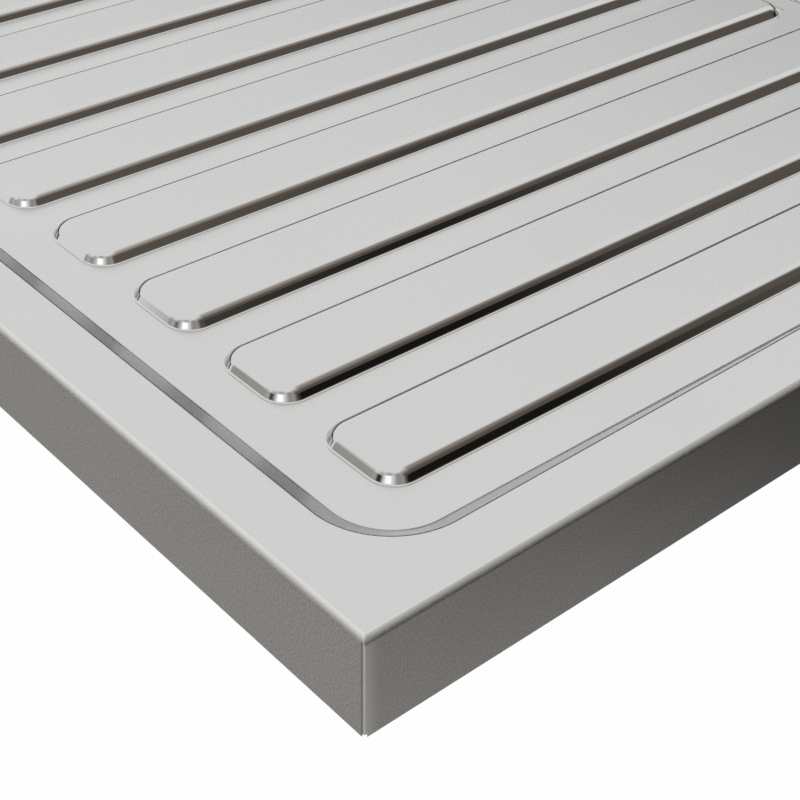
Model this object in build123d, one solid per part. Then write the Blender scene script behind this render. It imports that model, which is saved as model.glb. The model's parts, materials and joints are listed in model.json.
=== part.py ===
from build123d import *
import math
import os

# Lay-on kitchen sink with a ribbed drainboard on the left and a bowl on the right.
# It lies on a base cabinet by the return flange of its 40 mm apron.
# Millimetres. The origin is the middle of the front flange's underside.
# +X runs right along the ribs, +Y to the back, +Z up. The seat is z = 0.

# Deck: one folded and pressed sheet
board_length = 1000.0
board_depth = 600.0
apron_height = 40.0
sheet = 1.0
fold_radius = 2.0
flange_width = 20.0
mitre_gap = 1.5

# Recess in the deck: margins from the apron's faces to the corner line where the sloping
# wall starts, and a floor that falls towards the bowl and is level around it
rim_side_margin = 24.5
rim_front_margin = 23.8
rim_back_margin = 102.5
rim_corner = 28.5
wall_slope = 35.0
rim_radius = 4.7
foot_radius = 4.7
recess_depth_left = 4.8
drain_fall = 0.018
level_start = 7.5
level_blend = 6.0

# Ribs pressed up from the drainboard
rib_count = 8
rib_pitch = 55.4
rib_width = 37.8
rib_height = 4.2
rib_wall_run = 2.9
rib_corner = 10.0
rib_top_fillet = 2.5
rib_base_fillet = 1.2
rib_front_offset = 47.6
rib_left_offset = 49.5
rib_right_offset = 450.0

# Bowl, drawn from its own blank and welded under the deck's turned-down lip
bowl_left_offset = 472.0
bowl_length = 460.0
bowl_width = 400.0
bowl_front_offset = 55.0
bowl_depth = 180.0
bowl_corner = 55.0
bowl_floor_radius = 38.0
bowl_draft = 2.0
lip_radius = 6.0
lip_straight = 3.0
floor_fall = 2.5
floor_fall_radius = 125.0

# Holes for the fittings
tap_hole_radius = 17.5
tap_back_offset = 50.0
waste_hole_radius = 45.0
waste_seat_radius = 59.0
waste_seat_depth = 3.0
overflow_hole_radius = 16.0
overflow_drop = 30.0

# Hat rails, tap plate and damping pads under the sheet
rail_offsets = (135.0, 270.0, 405.0)
rail_crown = 22.0
rail_flange = 12.0
rail_height = 16.0
rail_end_margin = 35.0
tap_plate_length = 110.0
tap_plate_width = 70.0
tap_plate_thickness = 1.5
tap_plate_corner = 6.0
pad_length = 200.0
pad_height = 90.0
pad_thickness = 2.5
pad_drop = 32.0
pad_corner = 8.0

# Cabinet brackets hooked over the return flange
bracket_width = 34.0
bracket_reach = 16.0
bracket_drop = 33.0
bracket_thickness = 1.5
bracket_slot_length = 20.0
bracket_slot_width = 5.0
bracket_slot_height = -20.0
bracket_foot_corner = 4.0
bracket_offsets = (100.0, 480.0)

# Strainer waste, all on the axis of the waste hole
flange_radius = 56.5
flange_sheet = 1.0
gasket_thickness = 1.5
gasket_margin = 2.0
cup_radius = 38.0
cup_depth = 44.0
shoulder_radius = 42.0
shoulder_flare = 1.5
shoulder_depth = 4.0
cup_foot_run = 6.0
cup_foot_rise = 4.0
body_radius = 50.0
body_wall = 2.5
body_gasket_thickness = 2.5
body_flange = 3.0
body_gap = 4.0
funnel_drop = 6.0
funnel_height = 16.0
outlet_thread_radius = 23.9
outlet_bore_radius = 20.0
outlet_length = 14.0
hub_radius = 8.0
hub_length = 14.0
web_count = 3
web_turn = 30.0
insert_margin = 2.0
well_radius = 9.0
well_depth = 3.5
screw_radius = 4.0
screw_clearance = 0.2
screw_head_radius = 7.0
screw_head_height = 2.5
screw_slot_width = 1.6
screw_slot_depth = 1.0
screw_tip = 1.0
drain_hole_radius = 4.5
drain_hole_count = 12
drain_hole_circle = 25.0

# Basket and its sliding stopper
basket_rim_radius = 40.8
basket_radius = 36.0
basket_floor_radius = 30.0
basket_depth = 24.0
basket_sheet = 0.8
basket_hole_radius = 1.9
basket_hole_count = 20
basket_hole_rows = (8.0, 15.0)
basket_floor_circles = ((13.0, 8), (22.0, 14))
sleeve_wall = 1.5
sleeve_height = 8.0
stem_radius = 3.0
stem_clearance = 0.3
collar_margin = 2.0
collar_height = 1.2
knob_radius = 11.0
knob_height = 9.0
knob_waist = 6.05
knob_sink = 3.0
seal_radius = 33.0
seal_thickness = 3.0
seal_chamfer = 1.0
lift_gap = 0.3

# Overflow on the back wall of the bowl
cover_radius = 25.0
cover_dome = 5.0
cover_sheet = 1.0
cover_slot_width = 3.0
cover_slot_pitch = 6.0
overflow_screw_radius = 2.6
overflow_screw_head = 5.0
overflow_screw_clear = 6.0
overflow_gasket_thickness = 2.5
head_radius = 24.0
head_flange = 3.0
head_depth = 30.0
head_wall = 2.0
pipe_radius = 10.0
pipe_wall = 1.5
pipe_bend = 32.0
pipe_clearance = 0.3
spigot_wall = 2.0
spigot_length = 26.0
spigot_height = 8.0
head_spigot_reach = 20.0
pipe_insertion = 14.0
pipe_insertion_low = 16.0
nut_height = 16.0
nut_wall = 3.5
nut_overlap = 11.0
nut_cap = 2.2
nut_ribs = 12
nut_rib_radius = 1.4
washer_thickness = 2.5

# Places worked out from the sizes above
left_x = -board_length / 2
right_x = board_length / 2
front_y = -flange_width / 2
back_y = front_y + board_depth
rim_z = apron_height
rim_left = left_x + rim_side_margin
rim_right = right_x - rim_side_margin
rim_front = front_y + rim_front_margin
rim_back = back_y - rim_back_margin
bowl_left = left_x + bowl_left_offset
bowl_right = bowl_left + bowl_length
bowl_front = front_y + bowl_front_offset
bowl_back = bowl_front + bowl_width
bowl_x = bowl_left + bowl_length / 2
bowl_y = bowl_front + bowl_width / 2
fall_end = bowl_left - lip_radius - level_start
floor_left_z = rim_z - recess_depth_left
floor_z = floor_left_z - drain_fall * (fall_end - rim_left)
tilt = math.atan(drain_fall)
lip_z = floor_z - lip_radius - lip_straight
bowl_floor_z = floor_z - bowl_depth
seat_z = bowl_floor_z - floor_fall - waste_seat_depth
tap_y = back_y - tap_back_offset
rail_front = front_y + rail_end_margin
rail_back = rim_back - (rail_end_margin - rim_front_margin)


def tilted_plane(drop):
    """Plane of the falling drainboard, lowered by drop."""
    return Plane(
        origin=(rim_left, 0, floor_left_z - drop),
        x_dir=(math.cos(tilt), 0, -math.sin(tilt)),
        z_dir=(math.sin(tilt), 0, math.cos(tilt)),
    )


def corner_shift(thickness, slope):
    """How far a wall's corner lines move sideways when the sheet is offset by its thickness.
    The slope is measured from the upright, in degrees."""
    return thickness * math.tan(math.radians(90 - slope) / 2)


def height_above(plane, vertex):
    return (Vector(vertex.X, vertex.Y, vertex.Z) - plane.origin).dot(plane.z_dir)


def lies_on(edge, plane):
    return all(abs(height_above(plane, vertex)) < 1e-4 for vertex in edge.vertices())


def tube(outer, inner, low, high):
    """Upright ring or pipe on the local Z axis."""
    middle = Pos(0, 0, (low + high) / 2)
    return middle * (Cylinder(outer, high - low) - Cylinder(inner, high - low))


def rod(radius, low, high):
    return Pos(0, 0, (low + high) / 2) * Cylinder(radius, high - low)


def turned(points):
    """Solid of revolution about local Z from (radius, z) corner points."""
    return revolve(make_face(Plane.XZ * Polyline(*points, close=True)), Axis.Z)


def bed_block(drop):
    """Block under the recess floor: falling on the left, blended into a level stretch."""
    left_z = floor_z + drain_fall * (fall_end - left_x) - drop
    right = (right_x, floor_z - drop)
    kink = (fall_end, floor_z - drop)
    outline = Polyline((left_x, left_z), kink, right, (right_x, 0), (left_x, 0), close=True)
    profile = make_face(outline)
    corner = profile.vertices().sort_by_distance(kink)[0]
    profile = fillet(corner, level_blend / math.tan(tilt / 2))
    return Pos(0, back_y, 0) * extrude(Plane.XZ * profile, board_depth)


def recess_space(inset):
    """Space above the recess floor. With inset 0 it bounds the sheet's upper face, and with
    inset equal to the thickness its lower face."""
    shift = corner_shift(inset, wall_slope)
    rim = RectangleRounded(rim_right - rim_left + 2 * shift, rim_back - rim_front + 2 * shift,
                           rim_corner + shift)
    middle = Pos((rim_left + rim_right) / 2, (rim_front + rim_back) / 2, rim_z - inset)
    depth = rim_z - floor_z + 2
    space = middle * extrude(rim, -depth, taper=wall_slope) - bed_block(inset)
    foot = [edge for edge in space.edges()
            if edge.bounding_box().max.Z < rim_z - inset - 1 and not across_fall(edge)]
    return fillet(foot, foot_radius + inset)


def across_fall(edge):
    """True for the lines across the floor where the fall ends."""
    box = edge.bounding_box()
    return box.max.X - box.min.X < 0.01 and abs(box.min.X - fall_end) < 2 * level_blend


def rib_forms(inset):
    """The ribs as raised blocks on the falling floor, with their crown edges rounded."""
    draft = math.degrees(math.atan(rib_wall_run / rib_height))
    shift = corner_shift(inset, draft)
    low = tilted_plane(inset)
    along = 1 / math.cos(tilt)
    length = (rib_right_offset - rib_left_offset) * along - 2 * shift
    middle = (left_x + (rib_left_offset + rib_right_offset) / 2 - rim_left) * along
    base = RectangleRounded(length, rib_width - 2 * shift, rib_corner - shift)
    forms = []
    for number in range(rib_count):
        y = front_y + rib_front_offset + number * rib_pitch + rib_width / 2
        rib = extrude(low * (Pos(middle, y) * base), rib_height, taper=draft)
        crown = rib.faces().sort_by(Axis(low.origin, low.z_dir))[-1]
        forms.append(fillet(crown.edges(), rib_top_fillet - inset))
    return forms


def pressed_space(inset):
    """Recess with the ribs standing in it and a small radius round the foot of each rib."""
    space = recess_space(inset) - rib_forms(inset)
    low = tilted_plane(inset)
    x_low = left_x + rib_left_offset - 1
    x_high = left_x + rib_right_offset + 1
    y_low = front_y + rib_front_offset - 1
    y_high = y_low + rib_pitch * (rib_count - 1) + rib_width + 2
    foot = []
    for edge in space.edges():
        box = edge.bounding_box()
        inside = box.min.X > x_low and box.max.X < x_high and box.min.Y > y_low and box.max.Y < y_high
        if inside and lies_on(edge, low):
            foot.append(edge)
    return fillet(foot, rib_base_fillet + inset)


def bowl_outline(grow):
    return RectangleRounded(bowl_length + 2 * grow, bowl_width + 2 * grow, bowl_corner + grow)


def deck_block(inset):
    """Box of the deck with its top and bottom fold rounded, or the space inside it."""
    block = Box(board_length - 2 * inset, board_depth - 2 * inset, apron_height - 2 * inset)
    block = Pos(0, front_y + board_depth / 2, apron_height / 2) * block
    folds = block.faces().sort_by(Axis.Z)[-1].edges() + block.faces().sort_by(Axis.Z)[0].edges()
    return fillet(folds, fold_radius - inset)


def rim_edges(form, height):
    """Edges where the recess wall meets the flat rim."""
    found = []
    for edge in form.edges():
        box = edge.bounding_box()
        level = abs(box.min.Z - height) < 1e-4 and abs(box.max.Z - height) < 1e-4
        across = box.min.X > left_x + fold_radius + 1 and box.max.X < right_x - fold_radius - 1
        deep = box.min.Y > front_y + fold_radius + 1 and box.max.Y < back_y - fold_radius - 1
        if level and across and deep:
            found.append(edge)
    return found


def make_sink_top():
    outside = deck_block(0) - pressed_space(0)
    outside = fillet(rim_edges(outside, rim_z), rim_radius)
    bowl_place = Pos(bowl_x, bowl_y, 0)
    well = bowl_place * extrude(bowl_outline(0), apron_height)
    outside = outside - well
    mouth = [edge for edge in outside.edges()
             if abs(edge.bounding_box().min.Z - floor_z) < 1e-4
             and abs(edge.bounding_box().max.Z - floor_z) < 1e-4
             and bowl_left - 0.01 < edge.center().X < bowl_right + 0.01
             and bowl_front - 0.01 < edge.center().Y < bowl_back + 0.01]
    outside = fillet(mouth, lip_radius)

    inside = deck_block(sheet) - pressed_space(sheet)
    inside = fillet(rim_edges(inside, rim_z - sheet), rim_radius - sheet)
    inside = inside - bowl_place * extrude(bowl_outline(sheet), apron_height)
    under = floor_z - sheet
    bend = [edge for edge in inside.edges()
            if abs(edge.bounding_box().min.Z - under) < 1e-4
            and abs(edge.bounding_box().max.Z - under) < 1e-4
            and bowl_left - sheet - 0.01 < edge.center().X < bowl_right + sheet + 0.01
            and bowl_front - sheet - 0.01 < edge.center().Y < bowl_back + sheet + 0.01]
    inside = fillet(bend, lip_radius - sheet)

    deck = outside - inside
    opening = Box(board_length - 2 * flange_width, board_depth - 2 * flange_width, 2 * sheet)
    deck = deck - Pos(0, front_y + board_depth / 2, sheet) * opening
    deck = deck - bowl_place * Pos(0, 0, -1) * extrude(bowl_outline(2 * sheet), lip_z + 1)
    return deck - mitre_slits() - Pos(bowl_x, tap_y, rim_z) * Cylinder(tap_hole_radius, 4 * sheet)


def mitre_slits():
    """Gap between neighbouring flanges at each corner of the apron."""
    slits = []
    length = 2 * (flange_width + mitre_gap) * math.sqrt(2)
    for x, y, turn in ((left_x, front_y, 45), (right_x, front_y, -45),
                       (left_x, back_y, -45), (right_x, back_y, 45)):
        slits.append(Pos(x, y, 0) * Rot(0, 0, turn) * Box(length, mitre_gap, 2 * fold_radius))
    return slits


def bowl_form(grow):
    """Drawn bowl as a solid, on its own axis, grown all over by the given amount."""
    depth = lip_z - bowl_floor_z + grow
    form = extrude(bowl_outline(grow), -depth, taper=bowl_draft)
    floor = form.faces().sort_by(Axis.Z)[0]
    form = fillet(floor.edges(), bowl_floor_radius + grow)
    dish_top = -depth
    dish = turned([(0, dish_top + 1), (floor_fall_radius, dish_top + 1), (floor_fall_radius, dish_top),
                   (waste_seat_radius + grow, dish_top - floor_fall),
                   (waste_seat_radius + grow, dish_top - floor_fall - waste_seat_depth),
                   (0, dish_top - floor_fall - waste_seat_depth)])
    return form + dish


def back_wall_frame():
    """Local frame on the outside of the bowl's back wall at the overflow, +Z pointing away."""
    slope = math.radians(bowl_draft)
    down = Vector(0, -math.sin(slope), -math.cos(slope))
    top = Vector(bowl_x, bowl_back + sheet, lip_z)
    return Plane(origin=top + down * overflow_drop, x_dir=(1, 0, 0),
                 z_dir=(0, math.cos(slope), -math.sin(slope)))


def make_bowl():
    shell = Pos(bowl_x, bowl_y, lip_z) * (bowl_form(sheet) - bowl_form(0))
    shell = shell - Pos(bowl_x, bowl_y, seat_z) * Cylinder(waste_hole_radius, 4 * sheet)
    return shell - back_wall_frame() * Cylinder(overflow_hole_radius, 6 * sheet)


def make_rail(offset):
    """Hat section welded to the underside of the drainboard, from front to back."""
    half = rail_crown / 2
    outer = half + rail_flange
    t = sheet
    points = [(-outer, 0), (-half + t, 0), (-half + t, -rail_height + t), (half - t, -rail_height + t),
              (half - t, 0), (outer, 0), (outer, -t), (half, -t), (half, -rail_height),
              (-half, -rail_height), (-half, -t), (-outer, -t)]
    under = tilted_plane(sheet)
    along = (left_x + offset - rim_left) / math.cos(tilt)
    profile = Plane(origin=under.from_local_coords((along, rail_front, 0)),
                    x_dir=under.x_dir, z_dir=(0, -1, 0))
    length = rail_back - rail_front
    return extrude(profile * make_face(Polyline(*points, close=True)), -length)


def make_tap_plate():
    outline = RectangleRounded(tap_plate_length, tap_plate_width, tap_plate_corner)
    plate = extrude(outline, -tap_plate_thickness)
    plate = plate - rod(tap_hole_radius, -2 * tap_plate_thickness, tap_plate_thickness)
    return Pos(bowl_x, tap_y, rim_z - sheet) * plate


def wall_pad(x, y, normal_x, normal_y):
    """Damping pad stuck on an outer wall of the bowl."""
    slope = math.radians(bowl_draft)
    outward = Vector(normal_x * math.cos(slope), normal_y * math.cos(slope), -math.sin(slope))
    down = Vector(-normal_x * math.sin(slope), -normal_y * math.sin(slope), -math.cos(slope))
    place = Plane(origin=Vector(x, y, lip_z) + down * (pad_drop + pad_height / 2),
                  x_dir=Vector(-normal_y, normal_x, 0), z_dir=outward)
    return extrude(place * RectangleRounded(pad_length, pad_height, pad_corner), pad_thickness)


def make_bracket(side, offset):
    """Angle hooked over the flange at the left (-1) or right (1) end, slotted for a wood screw."""
    edge = board_length / 2 - flange_width - lift_gap
    top = sheet + bracket_thickness
    t = bracket_thickness
    points = [(edge + bracket_reach, sheet), (edge + bracket_reach, top), (edge - t, top),
              (edge - t, -bracket_drop), (edge, -bracket_drop), (edge, sheet)]
    angle = extrude(Plane.XZ * make_face(Polyline(*points, close=True)), bracket_width / 2, both=True)
    corners = [e for e in angle.edges().filter_by(Axis.Y)
               if abs(e.center().X - (edge - t)) < 0.01 and e.center().Z > 0]
    angle = fillet(corners, t)
    foot = angle.faces().sort_by(Axis.Z)[0].edges().filter_by(Axis.X)
    angle = fillet(foot, bracket_foot_corner)
    slot = extrude(Plane.YZ * SlotOverall(bracket_slot_length, bracket_slot_width), 4 * t, both=True)
    angle = angle - Pos(edge, 0, bracket_slot_height) * slot
    if side < 0:
        angle = Rot(0, 0, 180) * angle
    return Pos(0, front_y + offset, 0) * angle


# Heights along the waste's axis, measured from the seat pressed in the bowl's floor
flange_low = gasket_thickness
cup_floor = flange_low - cup_depth
well_floor = cup_floor - well_depth
hub_top = well_floor - lift_gap
hub_low = hub_top - hub_length
insert_radius = hub_radius - insert_margin
insert_top = hub_low + hub_length / 2
under_seat = -sheet
spigot_z = cup_floor + spigot_height


def make_flange_gasket():
    return tube(flange_radius - gasket_margin, waste_hole_radius, 0, gasket_thickness)


def make_body_gasket():
    return tube(body_radius, waste_hole_radius, under_seat - body_gasket_thickness, under_seat)


def make_waste_flange():
    """Pressed cup with a broad flange, a shoulder for the basket, drain holes in its floor and
    a well in the middle for the screw's head."""
    t = flange_sheet
    shoulder = flange_low - shoulder_depth
    foot = cup_radius - cup_foot_run
    bend = cup_radius - cup_foot_run / 3
    cup = turned([
        (flange_radius, flange_low), (flange_radius, flange_low + t),
        (shoulder_radius + shoulder_flare, flange_low + t), (shoulder_radius, shoulder + t),
        (cup_radius, shoulder + t), (bend, cup_floor + cup_foot_rise), (foot, cup_floor + t),
        (well_radius, cup_floor + t), (well_radius, well_floor + t), (0, well_floor + t),
        (0, well_floor), (well_radius + t, well_floor), (well_radius + t, cup_floor),
        (foot + t, cup_floor), (bend + t, cup_floor + cup_foot_rise - t), (cup_radius + t, shoulder),
        (shoulder_radius + t, shoulder), (shoulder_radius + shoulder_flare + t, flange_low),
    ])
    holes = PolarLocations(drain_hole_circle, drain_hole_count)
    cup = cup - [spot * rod(drain_hole_radius, cup_floor - t, cup_floor + 3 * t) for spot in holes]
    return cup - rod(screw_radius + screw_clearance, well_floor - t, cup_floor + 3 * t)


def make_waste_body():
    """Moulded funnel with the overflow spigot behind, a centre hub on webs and the outlet thread."""
    w = body_wall
    top = under_seat - body_gasket_thickness
    inner = cup_radius + body_gap
    funnel = cup_floor - funnel_drop
    neck = funnel - funnel_height + w
    outlet = funnel - funnel_height - outlet_length
    flange_under = top - body_flange
    shell = turned([
        (inner, top), (body_radius, top), (body_radius, flange_under), (inner + w, flange_under),
        (inner + w, funnel), (outlet_thread_radius, neck), (outlet_thread_radius, outlet),
        (outlet_bore_radius, outlet), (outlet_bore_radius, neck), (inner, funnel + w),
    ])
    bore = pipe_radius + pipe_clearance
    spigot = Pos(0, 0, spigot_z) * Rot(-90, 0, 0)
    reach = inner + spigot_length
    shell = shell + spigot * rod(bore + spigot_wall, inner + w / 2, reach)
    shell = shell - spigot * rod(bore, inner - 2 * w, reach + w)
    webs = [web * Pos(inner / 2, 0, hub_top - hub_length / 2) * Box(inner, w, hub_length - 2 * w)
            for web in PolarLocations(0, web_count, web_turn)]
    half = w / 2
    room = turned([(0, top), (inner + half, top), (inner + half, funnel + half),
                   (outlet_bore_radius + half, neck), (outlet_bore_radius + half, outlet), (0, outlet)])
    spider = (Part() + webs) & room
    spider = spider + rod(hub_radius, hub_low, hub_top)
    spider = spider - rod(screw_radius + 2 * screw_clearance, hub_low - w, hub_top + w)
    spider = spider - rod(insert_radius + screw_clearance, hub_low - w, insert_top)
    return shell + spider


def make_clamp_insert():
    return tube(insert_radius, screw_radius + screw_clearance, hub_low, insert_top)


def make_clamp_screw():
    seat = well_floor + flange_sheet
    head = Pos(0, 0, seat) * extrude(Circle(screw_head_radius), screw_head_height)
    head = fillet(head.faces().sort_by(Axis.Z)[-1].edges(), 1.0)
    screw = head + rod(screw_radius, hub_low - screw_tip, seat)
    slot = Box(2 * screw_head_radius, screw_slot_width, 2 * screw_slot_depth)
    return screw - Pos(0, 0, seat + screw_head_height) * slot


def basket_rim_z():
    """Underside of the basket's rim, just clear of the shoulder in the cup."""
    return flange_low - shoulder_depth + flange_sheet + lift_gap


def make_basket():
    """Perforated cup hung by its rim, with a guide sleeve for the stem in the middle."""
    t = basket_sheet
    rim = basket_rim_z()
    low = rim - basket_depth
    cup = turned([
        (basket_rim_radius, rim), (basket_rim_radius, rim + t), (basket_radius, rim + t),
        (basket_floor_radius, low + t), (0, low + t), (0, low),
        (basket_floor_radius + t / 2, low), (basket_radius + t / 2, rim),
    ])
    sleeve = stem_radius + stem_clearance
    cup = cup + rod(sleeve + sleeve_wall, low, low + sleeve_height)
    cup = cup - rod(sleeve, low - t, low + sleeve_height + t)
    holes = []
    for row, height in enumerate(basket_hole_rows):
        half_step = 180 / basket_hole_count * (row % 2)
        for number in range(basket_hole_count):
            turn = Rot(0, 0, 360 / basket_hole_count * number + half_step)
            drill = Rot(0, 90, 0) * rod(basket_hole_radius, basket_floor_radius / 2, basket_rim_radius)
            holes.append(turn * Pos(0, 0, low + height) * drill)
    for circle, count in basket_floor_circles:
        for spot in PolarLocations(circle, count):
            holes.append(spot * rod(basket_hole_radius, low - t, low + 2 * t))
    return cup - holes


def seal_low():
    return cup_floor + flange_sheet + lift_gap


def make_stopper_seal():
    """Rubber disc that covers the drain holes, chamfered all round."""
    c = seal_chamfer
    low = seal_low()
    top = low + seal_thickness
    return turned([
        (0, low), (seal_radius - c, low), (seal_radius, low + c), (seal_radius, top - c),
        (seal_radius - c, top), (0, top),
    ])


def knob_low():
    return basket_rim_z() - knob_sink


def make_stopper_stem():
    low = seal_low() + seal_thickness
    collar = rod(stem_radius + collar_margin, low, low + collar_height)
    return collar + rod(stem_radius, low, knob_low() + knob_height / 2)


def make_stopper_knob():
    """Turned knob with a waist to lift it by."""
    low = knob_low()
    top = low + knob_height
    knob = turned([(0, low), (knob_waist, low), (knob_waist, low + knob_height * 0.35),
                   (knob_radius, low + knob_height * 0.6), (knob_radius, top), (0, top)])
    crown = knob.edges().group_by(Axis.Z)[-1]
    knob = fillet(crown, knob_height * 0.3)
    return knob - rod(stem_radius, low - 1, low + knob_height / 2)


def make_overflow_cover():
    """Domed cover inside the bowl with slots for the water."""
    t = cover_sheet
    inside = -sheet * math.cos(math.radians(bowl_draft))
    crown = inside - cover_dome
    r = cover_radius
    dome = turned([
        (r, inside), (r - 1.5, crown + 1), (r - 4, crown), (0, crown),
        (0, crown + t), (r - 4.4, crown + t), (r - 2.4, crown + 1.6), (r - t, inside),
    ])
    slots = []
    for number in (-2, -1, 1, 2):
        length = 2 * math.sqrt((r - cover_slot_pitch) ** 2 - (cover_slot_pitch * number) ** 2)
        slot = extrude(Plane.XY * SlotOverall(length, cover_slot_width, rotation=90), 4 * t, both=True)
        slots.append(Pos(cover_slot_pitch * number, 0, crown) * slot)
    dome = dome - slots
    return dome - rod(overflow_screw_radius + screw_clearance, crown - t, inside)


def make_overflow_screw():
    inside = -sheet * math.cos(math.radians(bowl_draft)) - cover_dome
    wide = overflow_screw_head
    high = inside - wide * 0.4
    head = turned([(0, high), (wide * 0.6, high), (wide, inside), (0, inside)])
    tip = overflow_gasket_thickness + head_depth - overflow_screw_clear
    screw = head + rod(overflow_screw_radius, inside, tip)
    return screw - Pos(0, 0, high) * Box(2 * wide, screw_slot_width, 2 * screw_slot_depth)


def make_overflow_gasket():
    return tube(head_radius, overflow_hole_radius, 0, overflow_gasket_thickness)


def make_overflow_head():
    """Moulded box behind the wall with a spigot pointing down for the pipe."""
    w = head_wall
    low = overflow_gasket_thickness
    bore = pipe_radius + pipe_clearance
    outer = overflow_hole_radius + w
    head = rod(head_radius, low, low + head_flange) + rod(outer, low, low + head_depth)
    head = fillet(head.faces().sort_by(Axis.Z)[-1].edges(), 3)
    middle = low + head_depth - bore - w
    down = Pos(0, 0, middle) * Rot(-90, 0, 0)
    reach = outer + head_spigot_reach
    head = head + down * rod(bore + w, 0, reach)
    head = head - rod(outer - w, low - w, low + head_depth - w)
    head = head - down * rod(bore, bore / 2, reach + w)
    boss = rod(overflow_screw_head, low, low + head_depth - w / 2)
    room = low + head_depth - overflow_screw_clear + lift_gap
    boss = boss - rod(overflow_screw_radius + screw_clearance, low - w, room)
    return head + boss


def head_spigot_end():
    """Centre and direction of the end of the head's spigot."""
    frame = back_wall_frame()
    bore = pipe_radius + pipe_clearance
    middle = overflow_gasket_thickness + head_depth - bore - head_wall
    outer = overflow_hole_radius + head_wall
    end = frame.from_local_coords((0, outer + head_spigot_reach, middle))
    return end, frame.y_dir


def body_spigot_end():
    """Centre of the open end of the waste body's spigot."""
    return Vector(bowl_x, bowl_y + cup_radius + body_gap + spigot_length, seat_z + spigot_z)


def make_overflow_pipe():
    """Rigid pipe from inside the head's spigot, down the back of the bowl and under it."""
    end, down = head_spigot_end()
    goal = body_spigot_end()
    start = end - down * pipe_insertion
    run = (start.Z - goal.Z) / -down.Z
    corner = start + down * run
    last = goal - Vector(0, pipe_insertion_low, 0)
    path = FilletPolyline(start, corner, last, radius=pipe_bend)
    section = Plane(origin=start, x_dir=(1, 0, 0), z_dir=down)
    outer = sweep(section * Circle(pipe_radius), path=path)
    return outer - sweep(section * Circle(pipe_radius - pipe_wall), path=path)


def make_pipe_nut():
    """Ribbed union nut around a spigot's end, closed down to the pipe at its far side."""
    bore = pipe_radius + pipe_clearance + spigot_wall + pipe_clearance
    outer = bore + nut_wall
    top = nut_height - nut_overlap
    nut = tube(outer, bore, -nut_overlap, top)
    cap = tube(outer, pipe_radius + pipe_clearance, top - nut_cap, top)
    grips = [spot * rod(nut_rib_radius, 1 - nut_overlap, top - 1)
             for spot in PolarLocations(outer, nut_ribs)]
    return nut + cap + grips


def make_pipe_washer():
    bore = pipe_radius + pipe_clearance
    return tube(bore + spigot_wall, bore, 0, washer_thickness - 0.5)


def save(shape, name):
    shape.label = name
    export_step(shape, f"parts/{name}.step")


def main():
    os.makedirs("parts", exist_ok=True)
    save(make_sink_top(), "sink_top")
    save(make_bowl(), "bowl")
    for name, offset in zip(("left", "middle", "right"), rail_offsets):
        save(make_rail(offset), f"stiffener_{name}")
    save(make_tap_plate(), "tap_plate")
    save(wall_pad(bowl_left - sheet, bowl_y, -1, 0), "bowl_pad_left")
    save(wall_pad(bowl_right + sheet, bowl_y, 1, 0), "bowl_pad_right")
    save(wall_pad(bowl_x, bowl_front - sheet, 0, -1), "bowl_pad_front")
    for end, side in (("left", -1), ("right", 1)):
        for place, offset in zip(("front", "back"), bracket_offsets):
            save(make_bracket(side, offset), f"bracket_{place}_{end}")

    waste = Pos(bowl_x, bowl_y, seat_z)
    save(waste * make_flange_gasket(), "flange_gasket")
    save(waste * make_body_gasket(), "body_gasket")
    save(waste * make_waste_flange(), "waste_flange")
    save(waste * make_waste_body(), "waste_body")
    save(waste * make_clamp_insert(), "clamp_insert")
    save(waste * make_clamp_screw(), "clamp_screw")
    save(waste * make_basket(), "strainer_basket")
    save(waste * make_stopper_seal(), "stopper_seal")
    save(waste * make_stopper_stem(), "stopper_stem")
    save(waste * make_stopper_knob(), "stopper_knob")

    wall = back_wall_frame()
    save(wall * make_overflow_cover(), "overflow_cover")
    save(wall * make_overflow_screw(), "overflow_screw")
    save(wall * make_overflow_gasket(), "overflow_gasket")
    save(wall * make_overflow_head(), "overflow_head")
    save(make_overflow_pipe(), "overflow_pipe")
    end, down = head_spigot_end()
    upper = Plane(origin=end, x_dir=(1, 0, 0), z_dir=down)
    lower = Plane(origin=body_spigot_end(), x_dir=(1, 0, 0), z_dir=(0, 1, 0))
    for name, place in (("upper", upper), ("lower", lower)):
        save(place * make_pipe_nut(), f"overflow_nut_{name}")
        save(place * make_pipe_washer(), f"overflow_washer_{name}")


main()
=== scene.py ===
# %% [markdown]
# # A lay-on kitchen sink with a pressed drainboard
# The sink is a sheet of stainless steel: folded down into an apron at its edges, pressed into a
# recess with eight ribs, and open over a deep drawn bowl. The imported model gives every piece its
# place and size. Here the sheet and the bowl are modelled again with smooth pressed edges, and
# each piece gets its finish.

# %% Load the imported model
import json
import math

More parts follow.
